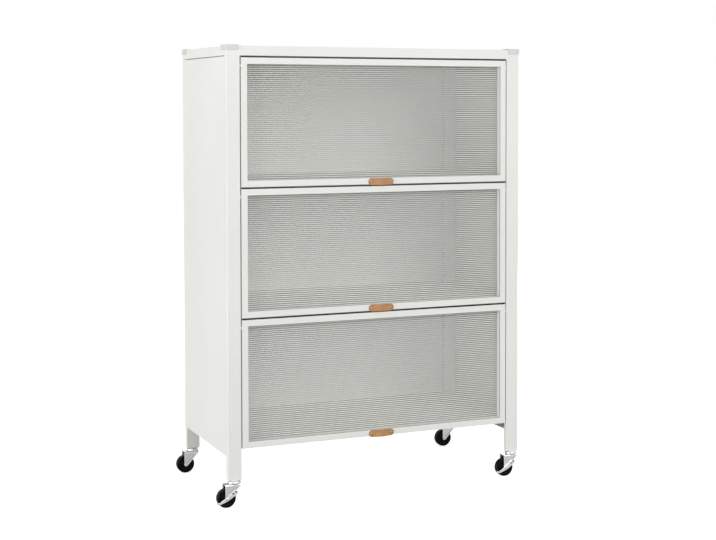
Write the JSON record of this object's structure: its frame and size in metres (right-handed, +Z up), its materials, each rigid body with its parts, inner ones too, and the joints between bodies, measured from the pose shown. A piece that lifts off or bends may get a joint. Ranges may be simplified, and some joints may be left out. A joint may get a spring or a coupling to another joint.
{
  "type": "rolling kitchen cabinet",
  "caption": "Tall narrow sheet-steel cabinet on casters, with stacked lift-up doors of ribbed translucent plastic and leather pulls.",
  "frame": {"origin": "on the floor, under the middle of the footprint with the wheels trailing to -X", "axes": "+Z up, X along the width, doors face -Y"},
  "size_m": [0.833, 0.4233, 1.1345],
  "materials": {
    "frame_enamel": "smooth white satin enamel",
    "door_enamel": "smooth white satin enamel",
    "cap_plastic": "light grey moulded plastic",
    "zinc_steel": "bright zinc plate",
    "magnet_nickel": "nickel plate",
    "stud_metal": "dull old brass",
    "bush_nylon": "natural white nylon",
    "bumper_rubber": "black rubber",
    "caster_chrome": "bright chrome plate",
    "wheel_plastic": "black, slightly glossy",
    "pane_plastic": "translucent, ribbed",
    "tan_leather": "smooth tan leather"
  },
  "bodies": {
    "frame": {"post_front_left": "frame_enamel", "post_front_right": "frame_enamel", "post_back_left": "frame_enamel", "post_back_right": "frame_enamel", "top_rail_front": "frame_enamel", "top_rail_back": "frame_enamel", "top_rail_left": "frame_enamel", "top_rail_right": "frame_enamel", "top_panel": "frame_enamel", "corner_caps": "cap_plastic", "side_panel_left": "frame_enamel", "side_panel_right": "frame_enamel", "back_panel": "frame_enamel", "shelf_upper": "frame_enamel", "shelf_lower": "frame_enamel", "shelf_bottom": "frame_enamel", "foot_plates": "zinc_steel", "stem_nuts": "zinc_steel", "pivot_bushes": "bush_nylon", "catch_magnets": "magnet_nickel", "door_bumpers": "bumper_rubber", "back_panel_screws": "zinc_steel", "caster_stems": "caster_chrome", "caster_balls": "zinc_steel"},
    "door_top": {"door_top_upper_rail": "door_enamel", "door_top_lower_rail": "door_enamel", "door_top_stiles": "door_enamel", "door_top_pane": "pane_plastic", "door_top_pivot_pins": "zinc_steel", "door_top_pull": "tan_leather", "door_top_pull_studs": "stud_metal"},
    "door_middle": {"door_middle_upper_rail": "door_enamel", "door_middle_lower_rail": "door_enamel", "door_middle_stiles": "door_enamel", "door_middle_pane": "pane_plastic", "door_middle_pivot_pins": "zinc_steel", "door_middle_pull": "tan_leather", "door_middle_pull_studs": "stud_metal"},
    "door_bottom": {"door_bottom_upper_rail": "door_enamel", "door_bottom_lower_rail": "door_enamel", "door_bottom_stiles": "door_enamel", "door_bottom_pane": "pane_plastic", "door_bottom_pivot_pins": "zinc_steel", "door_bottom_pull": "tan_leather", "door_bottom_pull_studs": "stud_metal"},
    "caster_front_left": {"fork_front_left": "caster_chrome", "axle_front_left": "zinc_steel"},
    "caster_front_right": {"fork_front_right": "caster_chrome", "axle_front_right": "zinc_steel"},
    "caster_back_left": {"fork_back_left": "caster_chrome", "axle_back_left": "zinc_steel"},
    "caster_back_right": {"fork_back_right": "caster_chrome", "axle_back_right": "zinc_steel"},
    "wheel_front_left": {"wheel_front_left": "wheel_plastic"},
    "wheel_front_right": {"wheel_front_right": "wheel_plastic"},
    "wheel_back_left": {"wheel_back_left": "wheel_plastic"},
    "wheel_back_right": {"wheel_back_right": "wheel_plastic"},
    "pedal_left": {"brake_pedal_left": "caster_chrome"},
    "pedal_right": {"brake_pedal_right": "caster_chrome"}
  },
  "joints": [
    {"name": "door_top_hinge", "type": "hinge", "parent": "frame", "child": "door_top", "pos_m": [0.014, -0.194, 1.0835], "axis": [-1, 0, 0], "range_deg": [0, 90]},
    {"name": "door_middle_hinge", "type": "hinge", "parent": "frame", "child": "door_middle", "pos_m": [0.014, -0.194, 0.7615], "axis": [-1, 0, 0], "range_deg": [0, 90]},
    {"name": "door_bottom_hinge", "type": "hinge", "parent": "frame", "child": "door_bottom", "pos_m": [0.014, -0.194, 0.4395], "axis": [-1, 0, 0], "range_deg": [0, 90]},
    {"name": "caster_front_left_swivel", "type": "hinge", "parent": "frame", "child": "caster_front_left", "pos_m": [-0.3685, -0.1925, 0.06], "axis": [0, 0, 1], "continuous": true},
    {"name": "caster_front_right_swivel", "type": "hinge", "parent": "frame", "child": "caster_front_right", "pos_m": [0.3965, -0.1925, 0.06], "axis": [0, 0, 1], "continuous": true},
    {"name": "caster_back_left_swivel", "type": "hinge", "parent": "frame", "child": "caster_back_left", "pos_m": [-0.3675, 0.1925, 0.06], "axis": [0, 0, 1], "continuous": true},
    {"name": "caster_back_right_swivel", "type": "hinge", "parent": "frame", "child": "caster_back_right", "pos_m": [0.3955, 0.1925, 0.06], "axis": [0, 0, 1], "continuous": true},
    {"name": "wheel_front_left_spin", "type": "hinge", "parent": "caster_front_left", "child": "wheel_front_left", "pos_m": [-0.3895, -0.1925, 0.0235], "axis": [0, 1, 0], "continuous": true},
    {"name": "wheel_front_right_spin", "type": "hinge", "parent": "caster_front_right", "child": "wheel_front_right", "pos_m": [0.3755, -0.1925, 0.0235], "axis": [0, 1, 0], "continuous": true},
    {"name": "wheel_back_left_spin", "type": "hinge", "parent": "caster_back_left", "child": "wheel_back_left", "pos_m": [-0.3885, 0.1925, 0.0235], "axis": [0, 1, 0], "continuous": true},
    {"name": "wheel_back_right_spin", "type": "hinge", "parent": "caster_back_right", "child": "wheel_back_right", "pos_m": [0.3745, 0.1925, 0.0235], "axis": [0, 1, 0], "continuous": true},
    {"name": "brake_pedal_left_rock", "type": "hinge", "parent": "caster_front_left", "child": "pedal_left", "pos_m": [-0.3895, -0.2068, 0.0235], "axis": [0, 1, 0], "range_deg": [0, 15]},
    {"name": "brake_pedal_right_rock", "type": "hinge", "parent": "caster_front_right", "child": "pedal_right", "pos_m": [0.3755, -0.2068, 0.0235], "axis": [0, 1, 0], "range_deg": [0, 15]}
  ]
}
